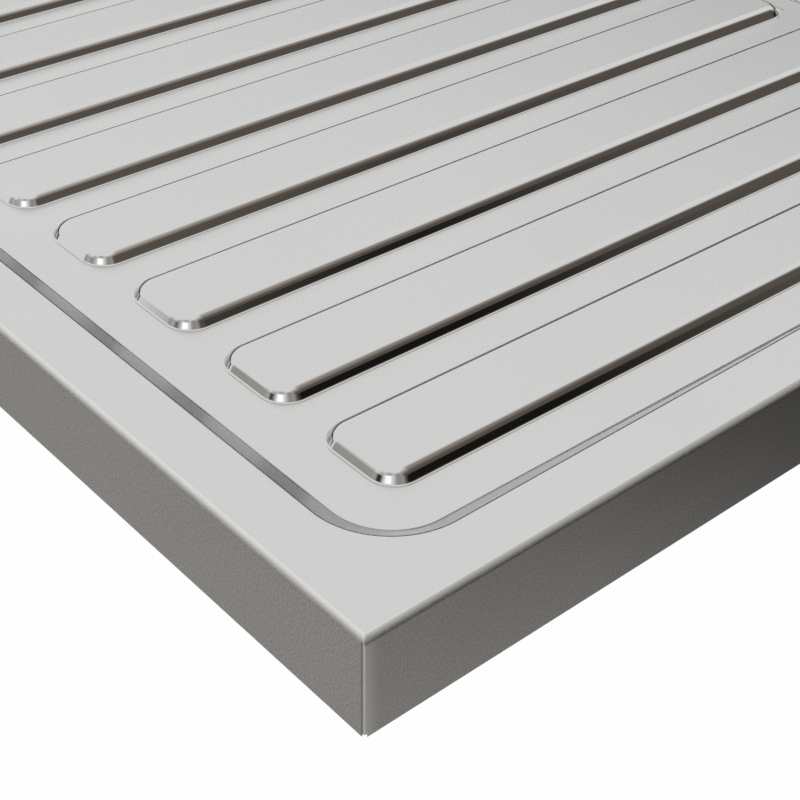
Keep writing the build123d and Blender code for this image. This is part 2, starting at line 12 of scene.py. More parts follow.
import bmesh
import bpy
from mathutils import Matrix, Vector


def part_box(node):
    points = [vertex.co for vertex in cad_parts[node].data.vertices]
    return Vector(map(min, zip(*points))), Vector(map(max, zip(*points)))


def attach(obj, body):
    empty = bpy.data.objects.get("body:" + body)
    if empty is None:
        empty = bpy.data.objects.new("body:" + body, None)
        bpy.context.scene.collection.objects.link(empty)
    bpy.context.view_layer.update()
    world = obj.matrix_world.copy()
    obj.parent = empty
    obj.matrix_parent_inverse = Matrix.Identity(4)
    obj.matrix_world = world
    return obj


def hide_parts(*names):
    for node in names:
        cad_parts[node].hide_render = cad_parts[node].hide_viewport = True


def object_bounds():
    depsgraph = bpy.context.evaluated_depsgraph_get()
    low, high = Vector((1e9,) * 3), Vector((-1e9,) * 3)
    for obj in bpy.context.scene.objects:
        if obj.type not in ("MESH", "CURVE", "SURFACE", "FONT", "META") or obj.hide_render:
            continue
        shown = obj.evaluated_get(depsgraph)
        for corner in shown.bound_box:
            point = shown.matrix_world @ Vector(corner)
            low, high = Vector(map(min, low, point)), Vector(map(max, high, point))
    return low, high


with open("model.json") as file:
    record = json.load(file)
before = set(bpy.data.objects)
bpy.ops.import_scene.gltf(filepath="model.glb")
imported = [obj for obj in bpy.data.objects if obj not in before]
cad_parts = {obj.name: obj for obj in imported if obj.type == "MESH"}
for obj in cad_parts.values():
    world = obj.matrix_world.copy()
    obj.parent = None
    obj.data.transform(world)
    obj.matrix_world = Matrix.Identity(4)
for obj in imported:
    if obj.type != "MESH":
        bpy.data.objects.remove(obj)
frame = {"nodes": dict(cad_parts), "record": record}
nodes = frame["nodes"]
cad_low, cad_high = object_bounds()
mm = 0.001
print("packed model from", cad_low, "to", cad_high)

# %% [markdown]
# ## The camera
# A camera fitted to the straight edges of the apron stands in front of the left corner and looks
# down along the ribs. Its lens is fairly long, so the edges converge only a little.

# %% Camera
bpy.ops.object.camera_add(
    location=(-704.6 * mm, -257.4 * mm, 357.0 * mm),
    rotation=(math.radians(53.64), math.radians(-0.74), math.radians(-40.59)),
)
camera = bpy.context.active_object
camera.data.lens = 74.2
camera.data.clip_start = 10 * mm
bpy.context.scene.camera = camera
bpy.context.scene.view_settings.view_transform = "Standard"

# %% [markdown]
# ## Helpers for edit mode
# An operator works on whatever is selected, so each step first selects its object, then the
# faces or edges that it is about. A test on a face's normal or an edge's height picks them out,
# as one would pick them by eye in the window.


# %% Selecting in code
def only(obj):
    """Selects one object and nothing else."""
    bpy.ops.object.select_all(action="DESELECT")
    obj.select_set(True)
    bpy.context.view_layer.objects.active = obj


def edit(obj):
    """Opens an object in edit mode, with nothing in it selected."""
    only(obj)
    bpy.ops.object.mode_set(mode="EDIT")
    bpy.ops.mesh.select_all(action="DESELECT")


def leave_edit():
    bpy.ops.object.mode_set(mode="OBJECT")


def apply_place():
    """Writes the place, turn and scale of the selected object into its mesh."""
    bpy.ops.object.transform_apply(location=True, rotation=True, scale=True)


def pick_faces(obj, test):
    """Selects the faces that pass a test, and tells how many there are."""
    bpy.ops.mesh.select_mode(type="FACE")
    bpy.ops.mesh.select_all(action="DESELECT")
    mesh = bmesh.from_edit_mesh(obj.data)
    chosen = [face for face in mesh.faces if test(face)]
    for face in chosen:
        face.select = True
    bmesh.update_edit_mesh(obj.data)
    return len(chosen)


def pick_edges(obj, test):
    """Selects the edges that pass a test, and tells how many there are."""
    bpy.ops.mesh.select_mode(type="EDGE")
    bpy.ops.mesh.select_all(action="DESELECT")
    mesh = bmesh.from_edit_mesh(obj.data)
    chosen = [edge for edge in mesh.edges if test(edge)]
    for edge in chosen:
        edge.select = True
    bmesh.update_edit_mesh(obj.data)
    return len(chosen)


def middle(edge):
    """Point halfway along an edge."""
    return (edge.verts[0].co + edge.verts[1].co) / 2


def flat(face):
    """True for faces that lie as the floor or the rim does, level or falling very little."""
    return face.normal.z > 0.999


def between_flat_and_wall(edge):
    return len(edge.link_faces) == 2 and flat(edge.link_faces[0]) != flat(edge.link_faces[1])


def level_at(edge, height):
    return all(abs(v.co.z - height) < 0.001 * mm for v in edge.verts)


# %% [markdown]
# A plane with its four corners bevelled is a rounded rectangle, which is how every pressed form
# of this sink starts. Insets then carry its outline inwards, down or up, at a constant distance,
# so a wall keeps the same slope round its corners.


# %% Rounded rectangle
def rounded_face(name, x_low, x_high, y_low, y_high, z, corner, steps):
    """One face with round corners. Steps is how many edges each corner has."""
    bpy.ops.object.select_all(action="DESELECT")
    place = ((x_low + x_high) / 2, (y_low + y_high) / 2, z)
    bpy.ops.mesh.primitive_plane_add(size=1, location=place)
    obj = bpy.context.active_object
    obj.name = name
    obj.scale = (x_high - x_low, y_high - y_low, 1)
    apply_place()
    edit(obj)
    bpy.ops.mesh.select_all(action="SELECT")
    bpy.ops.mesh.bevel(offset=corner, segments=steps, affect="VERTICES")
    leave_edit()
    return obj


def fillet_offset(radius, bend):
    """How far from a bent edge a fillet of this radius starts. The bend is in radians."""
    return radius * math.tan(bend / 2)


# %% [markdown]
# ## The recess of the drainboard
# The rim steps down to the drainboard over a slanted wall that is 8.2 mm wide all round. The floor
# at its foot falls towards the bowl and is level around the bowl, so the wall gets steeper as
# the recess gets deeper. It starts as a level tray of even depth. Turning its floor gives the
# fall, and squashing the floor's right part to one height makes it level there. The long walls
# are cut into short strips first, because they twist a little as they get steeper.

# %% Sizes of the pressed sheet
deck_low, deck_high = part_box("sink_top")
rim_z = deck_high.z
sheet = 1.0 * mm
ring = 4.0 * mm  # flat border round each pressed form, which joins it to the rest
panel_area = 0.02  # square metres: only the large flat faces have more
rim_side_margin = 22.0 * mm
rim_front_margin = 20.6 * mm
rim_back_margin = 100.0 * mm
rim_corner = 31.0 * mm
wall_run = 8.2 * mm
recess_depth_left = 4.9 * mm
drain_fall = 0.018
bowl_left = deck_low.x + 472 * mm
level_margin = 13.5 * mm
fall_end = bowl_left - level_margin
rim_left = deck_low.x + rim_side_margin
rim_right = deck_high.x - rim_side_margin
rim_front = deck_low.y + rim_front_margin
rim_back = deck_high.y - rim_back_margin
foot_left = rim_left + wall_run
tilt = math.atan(drain_fall)
floor_left_z = rim_z - recess_depth_left
floor_z = floor_left_z - drain_fall * (fall_end - foot_left)
print("floor is", round((rim_z - floor_z) / mm, 2), "mm under the rim at the bowl")

# %% Tray with a falling floor
recess = rounded_face(
    "recess", rim_left - ring, rim_right + ring, rim_front - ring, rim_back + ring,
    rim_z, rim_corner + ring, steps=24,
)
edit(recess)
bpy.ops.mesh.select_all(action="SELECT")
bpy.ops.mesh.inset(thickness=ring, depth=0)
bpy.ops.mesh.inset(thickness=wall_run, depth=-recess_depth_left)
bpy.ops.mesh.select_all(action="SELECT")
bpy.ops.mesh.bisect(plane_co=(fall_end, 0, 0), plane_no=(1, 0, 0))
wall_strips = 16
strip_length = (fall_end - foot_left - rim_corner) / wall_strips
for strip in range(1, wall_strips):
    pick_faces(recess, lambda face: not flat(face))
    strip_end = foot_left + rim_corner + strip * strip_length
    bpy.ops.mesh.bisect(plane_co=(strip_end, 0, 0), plane_no=(1, 0, 0))


def on_floor(face):
    return flat(face) and face.calc_center_median().z < rim_z - mm


pick_faces(recess, on_floor)
bpy.ops.transform.rotate(
    value=-tilt, orient_axis="Y", center_override=(foot_left, 0, floor_left_z)
)
pick_faces(recess, lambda face: on_floor(face) and face.calc_center_median().x > fall_end)
bpy.ops.transform.resize(value=(1, 1, 0), center_override=(fall_end, 0, floor_z))
leave_edit()
deepest = rim_z - min(vertex.co.z for vertex in recess.data.vertices)
print("the recess is", round(deepest / mm, 2), "mm deep at its lowest point")

# %% [markdown]
# The line where the falling floor meets the level one is bevelled wide, so that it can't be
# seen. An inset of the whole floor puts a ring of narrow faces round it. The bevel of the wall's
# foot and of the rim then has clean faces on both sides. Both bends are tight, so each draws one
# thin dark line.

# %% Pressed radii of the recess
kink_width = 6 * mm
clean_ring = 2 * mm
bend_width = 0.9 * mm
edit(recess)
across = pick_edges(
    recess,
    lambda edge: all(abs(v.co.x - fall_end) < 0.5 * mm for v in edge.verts)
    and edge.calc_length() > 100 * mm and middle(edge).z < rim_z - mm,
)
bpy.ops.mesh.bevel(offset=kink_width, segments=4, affect="EDGES")
floors = pick_faces(recess, on_floor)
bpy.ops.mesh.inset(thickness=clean_ring, depth=0)
bends = pick_edges(recess, between_flat_and_wall)
bpy.ops.mesh.bevel(offset=bend_width, segments=7, affect="EDGES")
print("kink edges", across, "floor faces", floors, "bent edges", bends)
opened = pick_faces(recess, lambda face: flat(face) and face.calc_area() > panel_area)
bpy.ops.mesh.delete(type="ONLY_FACE")
leave_edit()
print("floor panels taken out for the ribs and the bowl:", opened)

# %% [markdown]
# ## The ribs
# One rib is pressed up from a flat patch of floor: a flat ring to join it to the floor, a shallow
# groove where the die has pulled the sheet, a wall that leans in by 2.9 mm over its height of
# 4.2 mm, and a flat top. The foot gets a small radius and the crown a larger one. The groove is
# only 0.3 mm deep, but in the finished sheet it draws a fine dark line. The finished rib is
# tilted with the floor and copied seven times.

# %% One rib
rib_length = 400.5 * mm
rib_width = 37.8 * mm
rib_height = 4.2 * mm
rib_wall_run = 2.9 * mm
rib_corner = 10 * mm
rib_pitch = 55.4 * mm
rib_left = deck_low.x + 49.5 * mm
rib_front = deck_low.y + 47.6 * mm
rib_count = 8
rib_bend = math.atan(rib_height / rib_wall_run)
groove = 1.0 * mm
groove_depth = 0.3 * mm
crown_radius = 5.2 * mm
foot_radius = 1.0 * mm
brink_width = 0.2 * mm

rib = rounded_face(
    "rib", -rib_length / 2 - ring, rib_length / 2 + ring, -rib_width / 2 - ring,
    rib_width / 2 + ring, 0, rib_corner + ring, steps=18,
)
edit(rib)
bpy.ops.mesh.select_all(action="SELECT")
bpy.ops.mesh.inset(thickness=ring - groove, depth=0)
bpy.ops.mesh.inset(thickness=groove, depth=-groove_depth)
bpy.ops.mesh.inset(thickness=rib_wall_run, depth=rib_height + groove_depth)
bpy.ops.mesh.inset(thickness=ring, depth=0)
pick_edges(rib, lambda edge: between_flat_and_wall(edge) and level_at(edge, rib_height))
bpy.ops.mesh.bevel(offset=fillet_offset(crown_radius, rib_bend), segments=14, affect="EDGES")
foot = pick_edges(rib, lambda edge: level_at(edge, -groove_depth))
bpy.ops.mesh.bevel(offset=fillet_offset(foot_radius, rib_bend), segments=6, affect="EDGES")
brink = pick_edges(rib, lambda edge: between_flat_and_wall(edge) and level_at(edge, 0))
bpy.ops.mesh.bevel(offset=brink_width, segments=2, affect="EDGES")
leave_edit()
print("edges round the foot", foot, "and round the groove", brink)

# %% Eight ribs on the falling floor
along = (rib_left - foot_left + rib_length / 2) / math.cos(tilt)
rib.rotation_euler.y = tilt
rib.location = (
    foot_left + along * math.cos(tilt),
    rib_front + rib_width / 2,
    floor_left_z - along * math.sin(tilt),
)
only(rib)
apply_place()
pressings = [recess, rib]
for number in range(1, rib_count):
    only(rib)
    bpy.ops.object.duplicate()
    copy = bpy.context.active_object
    copy.location.y = number * rib_pitch
    apply_place()
    pressings.append(copy)
print("ribs:", len(pressings) - 1)

# %% [markdown]
# ## The mouth over the bowl
# Round the bowl the sheet turns down by a 6 mm radius into a short upright lip, to which the
# bowl is welded.

# %% Turned-down lip
bowl_front_margin = 55 * mm
bowl_size = Vector((460 * mm, 400 * mm))
bowl_low = Vector((bowl_left, deck_low.y + bowl_front_margin))
bowl_high = bowl_low + bowl_size
bowl_corner = 55 * mm
lip_radius = 6 * mm
lip_height = 9 * mm
mouth_ring = 10 * mm
mouth = rounded_face(
    "mouth", bowl_low.x - mouth_ring, bowl_high.x + mouth_ring, bowl_low.y - mouth_ring,
    bowl_high.y + mouth_ring, floor_z, bowl_corner + mouth_ring, steps=20,
)
edit(mouth)
bpy.ops.mesh.select_all(action="SELECT")
bpy.ops.mesh.inset(thickness=mouth_ring, depth=0)
bpy.ops.mesh.extrude_region_move(TRANSFORM_OT_translate={"value": (0, 0, -lip_height)})
pick_faces(mouth, lambda face: flat(face) and face.calc_area() > panel_area)
bpy.ops.mesh.delete(type="FACE")
pick_edges(mouth, between_flat_and_wall)
bpy.ops.mesh.bevel(offset=lip_radius, segments=10, affect="EDGES")
leave_edit()
pressings.append(mouth)

# %% [markdown]
# ## The apron
# The sheet is folded down 40 mm at its edges and turned in again to a flange of 20 mm, which
# lies on the cabinet. The upper fold has an outside radius of 3 mm and the lower one is tighter.
# The corners are mitred and welded, so the folds meet there in a line that is dressed smooth.

# %% Folded edges
fold_radius = 3 * mm
lower_fold_radius = 0.8 * mm
flange = 20 * mm
apron_ring = 6 * mm
centre = ((deck_low.x + deck_high.x) / 2, (deck_low.y + deck_high.y) / 2)
half_length = (deck_high.x - deck_low.x) / 2
half_depth = (deck_high.y - deck_low.y) / 2


def past_side(point):
    """How far a point lies outside the apron's faces. It is negative inside them."""
    return max(abs(point.x - centre[0]) - half_length, abs(point.y - centre[1]) - half_depth)


bpy.ops.object.select_all(action="DESELECT")
bpy.ops.mesh.primitive_plane_add(size=1, location=(centre[0], centre[1], rim_z))
apron = bpy.context.active_object
apron.name = "apron"
apron.scale = (2 * half_length, 2 * half_depth, 1)
apply_place()
edit(apron)
bpy.ops.mesh.select_all(action="SELECT")
bpy.ops.mesh.inset(thickness=apron_ring, depth=0)
bpy.ops.mesh.delete(type="ONLY_FACE")
pick_edges(apron, lambda edge: edge.is_boundary and past_side(middle(edge)) > -mm)
bpy.ops.mesh.extrude_region_move(TRANSFORM_OT_translate={"value": (0, 0, -rim_z)})
bpy.ops.mesh.extrude_region_move()
bpy.ops.transform.resize(
    value=(1 - flange / half_length, 1 - flange / half_depth, 1),
    center_override=(centre[0], centre[1], 0),
)


def outer_fold(edge, height):
    on_side = past_side(middle(edge)) > -mm
    return on_side and level_at(edge, height) and len(edge.link_faces) == 2


for height, radius, steps in ((rim_z, fold_radius, 12), (0, lower_fold_radius, 5)):
    folds = pick_edges(apron, lambda edge: outer_fold(edge, height))
    bpy.ops.mesh.bevel(offset=radius, segments=steps, affect="EDGES")
    print("folded edges at", round(height / mm), "mm:", folds)
leave_edit()
pressings.append(apron)

# %% Dressed corner welds
weld_width = 0.6 * mm
edit(apron)


def upright_corner(edge):
    """True for the upright edge at a corner of the apron, between the two folds."""
    first, second = edge.verts[0].co, edge.verts[1].co
    return abs(first.z - second.z) > 10 * mm and (first - second).xy.length < 0.01 * mm


welds = pick_edges(apron, upright_corner)
bpy.ops.mesh.bevel(offset=weld_width, segments=5, affect="EDGES")
leave_edit()
print("dressed corners:", welds)

# %% [markdown]
# ## One sheet
# The tap hole is a ring with its middle taken out. All pieces are joined, and the flat areas
# between their outlines are filled: the rim, the falling floor and the level floor. The skin so
# made is only the sheet's upper side. Its faces have to point up and out, because the thickness
# is added behind them.

# %% Tap hole
tap_radius = 17.5 * mm
tap_margin = 50 * mm
tap_x = (bowl_low.x + bowl_high.x) / 2
tap_y = deck_high.y - tap_margin
bpy.ops.object.select_all(action="DESELECT")
bpy.ops.mesh.primitive_circle_add(
    vertices=64, radius=tap_radius + ring, fill_type="NGON", location=(tap_x, tap_y, rim_z)
)
tap_ring = bpy.context.active_object
apply_place()
edit(tap_ring)
bpy.ops.mesh.select_all(action="SELECT")
bpy.ops.mesh.inset(thickness=ring, depth=0)
bpy.ops.mesh.delete(type="FACE")
leave_edit()
pressings.append(tap_ring)

# %% Join and fill
only(recess)
for piece in pressings:
    piece.select_set(True)
bpy.ops.object.join()
deck = recess
deck.name = "deck_sheet"
edit(deck)


def fill_between(test):
    found = pick_edges(deck, lambda edge: edge.is_boundary and test(middle(edge)))
    bpy.ops.mesh.fill(use_beauty=True)
    print("filled between", found, "edges")


def in_tap_hole(point):
    return (point.xy - Vector((tap_x, tap_y))).length < tap_radius + 0.5 * mm


def close_skin(obj):
    """Merges the points that lie on each other and turns the faces up. It ends edit mode."""
    bpy.ops.mesh.select_all(action="SELECT")
    bpy.ops.mesh.remove_doubles(threshold=0.001 * mm)
    bpy.ops.mesh.normals_make_consistent(inside=False)
    leave_edit()
    if sum(face.normal.z * face.area for face in obj.data.polygons) < 0:
        obj.data.flip_normals()


fill_between(lambda p: p.z > rim_z - 0.1 * mm and not in_tap_hole(p))
fill_between(lambda p: floor_z - mm < p.z < rim_z - mm and p.x < fall_end)
fill_between(lambda p: floor_z - mm < p.z < rim_z - mm and p.x > fall_end)
close_skin(deck)
print("deck skin:", len(deck.data.polygons), "faces")

# %% [markdown]
# Before the sheet gets its thickness, each face gets its finish: the flat areas are satin, the
# pressed walls are stretched and so shine more, and the apron has a grain of its own. The inner
# side gets the last slot, a plain mill finish.

# %% Finishes by place
SATIN, PRESSED, APRON, MILL = range(4)
flange_zone = 8 * mm
deck.data.materials.clear()
for name in ("satin_top", "pressed_steel", "apron_steel", "mill_steel"):
    deck.data.materials.append(bpy.data.materials.new(name))


def finish_of(face):
    if past_side(face.center) > -2 * mm or face.center.z < flange_zone:
        return APRON
    return SATIN if face.normal.z > 0.999 else PRESSED


for face in deck.data.polygons:
    face.material_index = finish_of(face)
print("faces with each finish:", [
    sum(face.material_index == slot for face in deck.data.polygons) for slot in range(3)
])


# %% Thickness
def thicken(obj, inner_slot):
    """Gives a skin the sheet's thickness behind its faces, with a finish of its own inside."""
    only(obj)
    thickness = obj.modifiers.new("thickness", "SOLIDIFY")
    thickness.thickness = sheet
    thickness.offset = -1
    thickness.use_even_offset = True
    thickness.material_offset = inner_slot
    bpy.ops.object.modifier_apply(modifier=thickness.name)


thicken(deck, MILL)
print("sheet with thickness:", len(deck.data.polygons), "faces")

# %% [markdown]
# At each corner the two flanges stop short of each other, and the tip of the lower fold is cut
# off, so that the sheet can be folded. Two boxes turned by 45 degrees cut the slit and the tip.


# %% Slits between the flanges
def cut(obj, cutter):
    """Takes the cutter's shape out of an object and throws the cutter away."""
    only(obj)
    difference = obj.modifiers.new("cut", "BOOLEAN")
    difference.operation = "DIFFERENCE"
    difference.object = cutter
    difference.solver = "MANIFOLD"
    bpy.ops.object.modifier_apply(modifier=difference.name)
    bpy.data.objects.remove(cutter)


slit_length = 60.8 * mm
slit_width = 1.5 * mm
slit_height = 4 * mm
tip_length = 2.6 * mm
tip_height = 0.7 * mm
corner_x, corner_y = 500 * mm, 300 * mm  # from the middle of the board
slit = (slit_length, slit_width, slit_height)
tip = (tip_length, 3 * tip_length, 2 * tip_height)
for side_x, side_y in ((-1, -1), (1, -1), (1, 1), (-1, 1)):
    for size in (slit, tip):
        bpy.ops.object.select_all(action="DESELECT")
        bpy.ops.mesh.primitive_cube_add(
            size=1,
            location=(centre[0] + side_x * corner_x, centre[1] + side_y * corner_y, 0),
            rotation=(0, 0, math.radians(45 * side_x * side_y)),
        )
        cutter = bpy.context.active_object
        cutter.scale = size
        apply_place()
        cut(deck, cutter)
print("sheet with slits:", len(deck.data.polygons), "faces")

# %% [markdown]
# Smooth shading hides the facets of the radii. Weighted normals keep the large flat faces truly
# flat, so that the radii beside them don't pull their shading.


# %% Smooth pressed edges
def smooth_sheet(obj):
    """Smooth shading up to bends of 35 degrees."""
    only(obj)
    bpy.ops.object.shade_smooth_by_angle(angle=math.radians(35))
    weighted = obj.modifiers.new("flat faces", "WEIGHTED_NORMAL")
    weighted.keep_sharp = True
    bpy.ops.object.modifier_apply(modifier=weighted.name)


smooth_sheet(deck)
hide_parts("sink_top")
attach(deck, "sink")

# %% [markdown]
# ## The bowl
# The bowl is drawn from its own blank. Its walls lean in by 2 degrees so that it leaves the die,
# its bottom edge has a large radius, and its floor falls to a seat for the waste. It starts as the
# same rounded outline as the lip above it.

# %% Drawn walls
lip_z = floor_z - lip_height
bowl_depth = 171 * mm
bowl_floor_z = lip_z - bowl_depth
draft = math.radians(2)
floor_radius = 38 * mm
floor_ring = 42 * mm
bowl = rounded_face(
    "bowl_sheet", bowl_low.x, bowl_high.x, bowl_low.y, bowl_high.y, lip_z, bowl_corner, steps=24
)
edit(bowl)
bpy.ops.mesh.select_all(action="SELECT")
bpy.ops.mesh.inset(thickness=bowl_depth * math.tan(draft), depth=-bowl_depth)
pick_faces(bowl, flat)
bpy.ops.mesh.inset(thickness=floor_ring, depth=0)
pick_edges(bowl, between_flat_and_wall)
bpy.ops.mesh.bevel(
    offset=fillet_offset(floor_radius, math.pi / 2 - draft), segments=14, affect="EDGES"
)
pick_faces(bowl, lambda face: flat(face) and face.calc_area() > panel_area)
bpy.ops.mesh.delete(type="ONLY_FACE")
leave_edit()

# %% Floor that falls to the waste
fall_radius = 125 * mm
floor_fall = 2.5 * mm
seat_radius = 59 * mm
seat_step = 0.6 * mm
seat_depth = 3 * mm
seat_bend = 0.8 * mm
waste_radius = 45 * mm
bowl_middle = (bowl_low + bowl_high) / 2
bpy.ops.object.select_all(action="DESELECT")
bpy.ops.mesh.primitive_circle_add(
    vertices=96, radius=fall_radius, fill_type="NGON", location=(*bowl_middle, bowl_floor_z)
)
dish = bpy.context.active_object
apply_place()
edit(dish)
bpy.ops.mesh.select_all(action="SELECT")
bpy.ops.mesh.inset(thickness=fall_radius - seat_radius, depth=-floor_fall)
bpy.ops.mesh.inset(thickness=seat_step, depth=-seat_depth)
bpy.ops.mesh.inset(thickness=seat_radius - seat_step - waste_radius, depth=0)
bpy.ops.mesh.delete(type="FACE")


def round_the_seat(edge):
    return abs((middle(edge).xy - bowl_middle).length - seat_radius) < mm


seat_edges = pick_edges(dish, round_the_seat)
bpy.ops.mesh.bevel(offset=seat_bend, segments=3, affect="EDGES")
leave_edit()
print("edges of the seat:", seat_edges)

# %% One shell
only(bowl)
dish.select_set(True)
bpy.ops.object.join()
edit(bowl)
pick_edges(bowl, lambda edge: edge.is_boundary and abs(middle(edge).z - bowl_floor_z) < 0.1 * mm)
bpy.ops.mesh.fill(use_beauty=True)
close_skin(bowl)
for name in ("bowl_steel", "bowl_outside"):
    bowl.data.materials.append(bpy.data.materials.new(name))
thicken(bowl, 1)

# %% Overflow hole
overflow_radius = 16 * mm
overflow_drop = 30 * mm
bpy.ops.object.select_all(action="DESELECT")
bpy.ops.mesh.primitive_cylinder_add(
    vertices=48, radius=overflow_radius, depth=12 * mm,
    location=(bowl_middle.x, bowl_high.y, lip_z - overflow_drop),
    rotation=(math.pi / 2 + draft, 0, 0),
)
overflow_drill = bpy.context.active_object
apply_place()
cut(bowl, overflow_drill)
smooth_sheet(bowl)
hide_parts("bowl")
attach(bowl, "sink")
print("bowl:", len(bowl.data.polygons), "faces")

# %% [markdown]
# ## Steel
# Steel is a metal, so its base colour is what it reflects, and its roughness says how blurred.
# Rolled and brushed sheet is never quite even: a fine noise stands for its grain, in the colour,
# the roughness and a very small bump, and a large noise for the soft clouds that handling leaves.
# One function makes all the steels of this sink, and each steel only says its own figures.


# %% Nodes in code
def nodes_of(material):
    """Node tree of a material with its surface shader."""
    material.use_nodes = True
    tree = material.node_tree
    return tree, tree.nodes["Principled BSDF"]


def add(tree, kind, settings=None, **inputs):
    """Adds a node, sets its properties, and sets or links its inputs by name."""
    node = tree.nodes.new(kind)
    for name, value in (settings or {}).items():
        setattr(node, name, value)
    for name, value in inputs.items():
        connect(tree, value, node.inputs[name.replace("_", " ")])
    return node


def connect(tree, value, socket):
    if isinstance(value, bpy.types.NodeSocket):
        tree.links.new(value, socket)
    else:
        socket.default_value = value


def own_place(tree, stretch=(1, 1, 1), shift=(0, 0, 0)):
    """Object coordinates of the piece, stretched for a grain that runs one way."""
    place = add(tree, "ShaderNodeTexCoord").outputs["Object"]
    mapping = add(tree, "ShaderNodeMapping", Vector=place, Scale=stretch, Location=shift)
    return mapping.outputs["Vector"]


def noise(tree, place, scale, detail=3.0):
    return add(
        tree, "ShaderNodeTexNoise", Vector=place, Scale=scale, Detail=detail
    ).outputs["Fac"]


def spread(tree, value, low, high):
    """Turns a noise, which stays near a half, into a value between low and high."""
    found = add(tree, "ShaderNodeMapRange", Value=value)
    found.inputs["From Min"].default_value = 0.3
    found.inputs["From Max"].default_value = 0.7
    found.inputs["To Min"].default_value = low
    found.inputs["To Max"].default_value = high
    return found.outputs["Result"]


def times(tree, first, second):
    return add_math(tree, "MULTIPLY", first, second)


def add_math(tree, operation, first, second=0.0):
    node = add(tree, "ShaderNodeMath", {"operation": operation})
    connect(tree, first, node.inputs[0])
    connect(tree, second, node.inputs[1])
    return node.outputs["Value"]


def tinted(tree, colour, factor):
    """A colour made lighter or darker by a factor."""
    node = add(tree, "ShaderNodeVectorMath", {"operation": "SCALE"})
    node.inputs[0].default_value = colour
    connect(tree, factor, node.inputs["Scale"])
    return node.outputs["Vector"]


def bumped(tree, shader, height, distance, strength=1.0):
    bump = add(tree, "ShaderNodeBump", Height=height, Distance=distance, Strength=strength)
    tree.links.new(bump.outputs["Normal"], shader.inputs["Normal"])


# %% Steel with a grain
def steel(
    name, colour, rough, grain, contrast, stretch=(1, 1, 1), clouds=0.02, depth=0.004 * mm
):
    """Grain is the noise's scale in 1/m, contrast how much it darkens the colour."""
    material = bpy.data.materials.get(name) or bpy.data.materials.new(name)
    tree, shader = nodes_of(material)
    shader.inputs["Metallic"].default_value = 1
    grains = noise(tree, own_place(tree, stretch), grain)
    cloud = noise(tree, own_place(tree), 9.0)
    shade = times(
        tree, spread(tree, grains, 1 - contrast, 1 + contrast),
        spread(tree, cloud, 1 - clouds, 1 + clouds),
    )
    tree.links.new(tinted(tree, colour, shade), shader.inputs["Base Color"])
    tree.links.new(spread(tree, grains, rough * 0.85, rough * 1.15), shader.inputs["Roughness"])
    bumped(tree, shader, grains, depth)
    return material


steel(
    "satin_top", (0.635, 0.635, 0.63), rough=0.28, grain=1600, contrast=0.006, clouds=0.01,
    depth=0.0002 * mm,
)
steel(
    "pressed_steel", (0.62, 0.62, 0.615), rough=0.07, grain=1200, contrast=0.01, clouds=0.01,
    depth=0.0002 * mm,
)
steel(
    "mill_steel", (0.50, 0.50, 0.49), rough=0.42, grain=900, contrast=0.06, stretch=(0.1, 1, 1),
    clouds=0.06,
)
steel(
    "bowl_steel", (0.64, 0.64, 0.635), rough=0.26, grain=1400, contrast=0.03,
    stretch=(1, 1, 0.1), depth=0.001 * mm,
)
steel(
    "bowl_outside", (0.50, 0.50, 0.49), rough=0.40, grain=900, contrast=0.06,
    stretch=(1, 1, 0.2), clouds=0.06,
)

# %% [markdown]
# The apron's steel keeps a speckled grain, because it isn't pressed or polished after the folding.
# Its colour changes with place, and this is painted light: the fold gets a painted highlight,
# with a painted grey shade line where the bend starts. The corner weld is dressed smooth in the
# mesh, and its colour gets a painted highlight line on the corner, a painted dark line beside it
# and a painted lighter sheen on the front.


# %% Values that change with place
def rising(tree, low, high, value):
    """0 below the low value, 1 above the high one, and smooth between them."""
    found = add(tree, "ShaderNodeMapRange", {"interpolation_type": "SMOOTHSTEP"}, Value=value)
    found.inputs["From Min"].default_value = low
    found.inputs["From Max"].default_value = high
    return found.outputs["Result"]


def within(tree, low, high, border, value):
    """1 between the low and the high value, with a soft border on either side."""
    entered = rising(tree, low - border / 2, low + border / 2, value)
    left = rising(tree, high - border / 2, high + border / 2, value)
    return times(tree, entered, add_math(tree, "SUBTRACT", 1.0, left))


def blended(tree, factor, below, above):
    """A value or colour that changes from below to above."""
    kind = "RGBA" if isinstance(above, tuple) else "FLOAT"
    node = add(tree, "ShaderNodeMix", {"data_type": kind})
    first, second, result = {"FLOAT": (2, 3, 0), "RGBA": (6, 7, 2)}[kind]
    connect(tree, factor, node.inputs[0])
    connect(tree, below, node.inputs[first])
    connect(tree, above, node.inputs[second])
    return node.outputs[result]


def along_axes(tree):
    """The piece's X, Y and Z as three values."""
    return add(tree, "ShaderNodeSeparateXYZ", Vector=own_place(tree)).outputs


def from_middle(tree, value, middle_value):
    return add_math(tree, "ABSOLUTE", add_math(tree, "SUBTRACT", value, middle_value))


